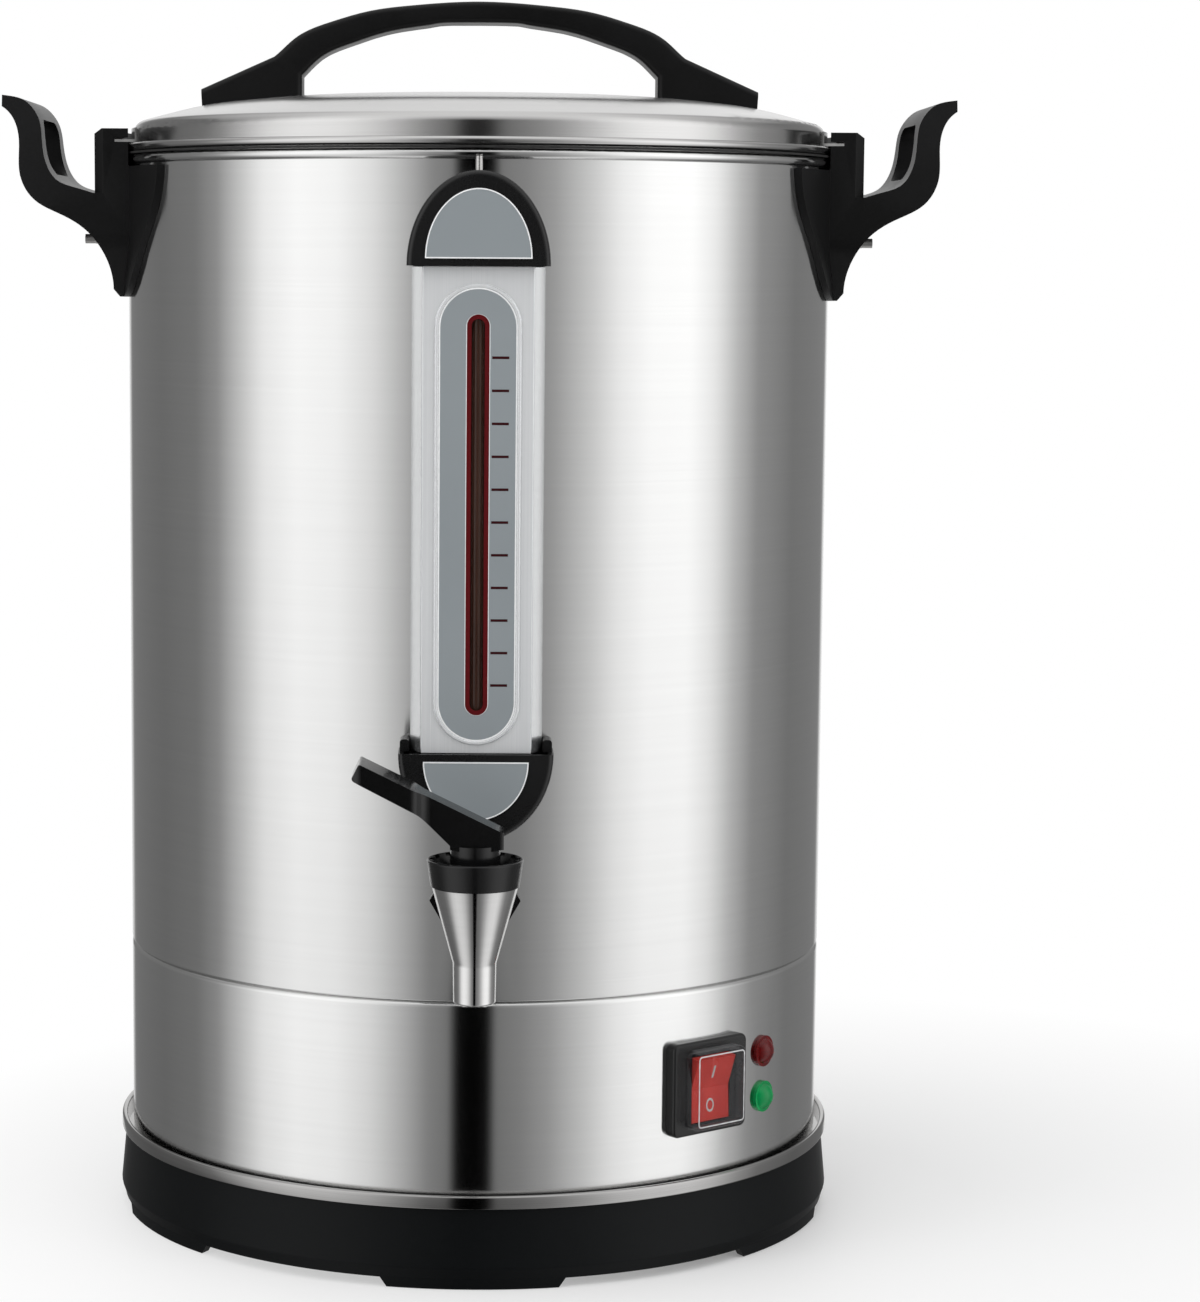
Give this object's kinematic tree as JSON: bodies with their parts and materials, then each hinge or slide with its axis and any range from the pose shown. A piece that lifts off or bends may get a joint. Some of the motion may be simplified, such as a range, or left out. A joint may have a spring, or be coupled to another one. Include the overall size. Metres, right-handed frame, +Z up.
{
  "type": "percolating coffee urn",
  "caption": "Tall cylindrical steel coffee urn with locking lid, side handles, level gauge, lever tap and switched base, with a percolator basket inside",
  "frame": {"origin": "on the urn's vertical axis, at the surface that its six feet stand on", "axes": "+Z up; -Y is the front, with the tap and the gauge; +Y is the back, with the power inlet; +X is to the right of someone facing the tap"},
  "size_m": [0.4002, 0.3743, 0.5185],
  "materials": {
    "stainless_sheet": "brushed stainless sheet, grain around the body",
    "stainless_polished": "polished stainless",
    "black_moulding": "satin black heat-resistant moulding",
    "black_cover": "black painted sheet",
    "housing_aluminium": "satin anodised",
    "grey_plate": "satin grey print on thin plate",
    "sight_glass": "clear borosilicate tube",
    "silicone": "translucent white silicone",
    "black_rubber": "black silicone",
    "fastener_steel": "plain stainless fasteners",
    "spring_steel": "drawn stainless wire",
    "heater_aluminium": "as cast",
    "element_sheath": "heat-darkened sheath",
    "contact_metal": "nickel plate",
    "control_body": "ivory phenolic",
    "clear_boot": "clear soft boot",
    "red_rocker": "translucent red",
    "red_lens": "translucent red",
    "green_lens": "translucent green"
  },
  "bodies": {
    "urn": {"base": "black_moulding", "bottom_cover": "stainless_sheet", "base_trim_ring": "stainless_polished", "skirt": "stainless_sheet", "tank": "stainless_sheet", "tie_rods": "fastener_steel", "tie_nuts": "fastener_steel", "heater_plate": "heater_aluminium", "heating_element": "element_sheath", "thermostat": "control_body", "thermal_cutout": "control_body", "terminal_block": "control_body", "power_inlet": "black_moulding", "inlet_pins": "contact_metal", "inlet_screws": "fastener_steel", "switch_frame": "black_moulding", "switch_boot": "clear_boot", "lamp_red": "red_lens", "lamp_green": "green_lens", "tap_body": "stainless_polished", "tap_washers": "silicone", "tap_lock_nut": "black_moulding", "tap_nut": "fastener_steel", "tap_bonnet": "black_moulding", "gauge_housing": "housing_aluminium", "gauge_scale": "grey_plate", "gauge_glass": "sight_glass", "gauge_seals": "silicone", "gauge_vent": "fastener_steel", "gauge_elbow": "fastener_steel", "gauge_nut": "fastener_steel", "gauge_top_cap": "black_moulding", "gauge_bottom_cap": "black_moulding", "gauge_top_insert": "grey_plate", "gauge_bottom_insert": "grey_plate", "right_handle": "black_moulding", "left_handle": "black_moulding", "handle_bolts": "fastener_steel", "handle_nuts": "fastener_steel"},
    "rocker": {"switch_rocker": "red_rocker"},
    "tap_turntable": {"tap_thrust_washer": "fastener_steel"},
    "tap_valve": {"tap_stem": "fastener_steel", "tap_seat_cup": "silicone", "tap_spring": "spring_steel"},
    "tap_handle": {"tap_lever": "black_moulding", "tap_cross_pin": "fastener_steel"},
    "lid_carrier": {"lid_seal": "black_rubber"},
    "lid_assembly": {"lid": "stainless_sheet", "lid_ears": "stainless_sheet", "lid_handle": "black_moulding", "lid_handle_screws": "fastener_steel"},
    "spreader": {"basket_cover": "stainless_sheet"},
    "basket": {"coffee_basket": "stainless_sheet"},
    "pump": {"pump_stem": "stainless_sheet"}
  },
  "joints": [
    {"name": "lid_lift", "type": "slide", "parent": "urn", "child": "lid_carrier", "axis": [0, 0, 1], "range_m": [0, 0.6]},
    {"name": "lid_twist", "type": "hinge", "parent": "lid_carrier", "child": "lid_assembly", "pos_m": [0, 0, 0.4557], "axis": [0, 0, 1], "range_deg": [0, 34]},
    {"name": "spreader_lift", "type": "slide", "parent": "urn", "child": "spreader", "axis": [0, 0, 1], "range_m": [0, 0.5]},
    {"name": "basket_lift", "type": "slide", "parent": "urn", "child": "basket", "axis": [0, 0, 1], "range_m": [0, 0.45]},
    {"name": "pump_lift", "type": "slide", "parent": "urn", "child": "pump", "axis": [0, 0, 1], "range_m": [0, 0.38]},
    {"name": "tap_swivel", "type": "hinge", "parent": "urn", "child": "tap_turntable", "pos_m": [0, -0.2, 0.1868], "axis": [0, 0, 1], "range_deg": [-30, 210]},
    {"name": "tap_valve_lift", "type": "slide", "parent": "tap_turntable", "child": "tap_valve", "axis": [0, 0, 1], "range_m": [0, 0.00371], "stiffness_N_per_m": 600, "springref_m": -0.01, "deforming": ["tap_spring"]},
    {"name": "tap_press", "type": "hinge", "parent": "tap_valve", "child": "tap_handle", "pos_m": [0, -0.2, 0.1868], "axis": [0, -1, 0], "range_deg": [0, 25]},
    {"name": "switch_rock", "type": "hinge", "parent": "urn", "child": "rocker", "pos_m": [0.09327, -0.11517, 0.0757], "axis": [-0.7771, -0.6293, 0], "range_deg": [0, 16]}
  ],
  "couplings": [
    {"joint": "spreader_lift", "follows": "lid_lift", "ratio": 0.8333},
    {"joint": "basket_lift", "follows": "lid_lift", "ratio": 0.75},
    {"joint": "pump_lift", "follows": "lid_lift", "ratio": 0.6333},
    {"joint": "tap_press", "follows": "tap_valve_lift", "rad_per_m": 117.65}
  ]
}
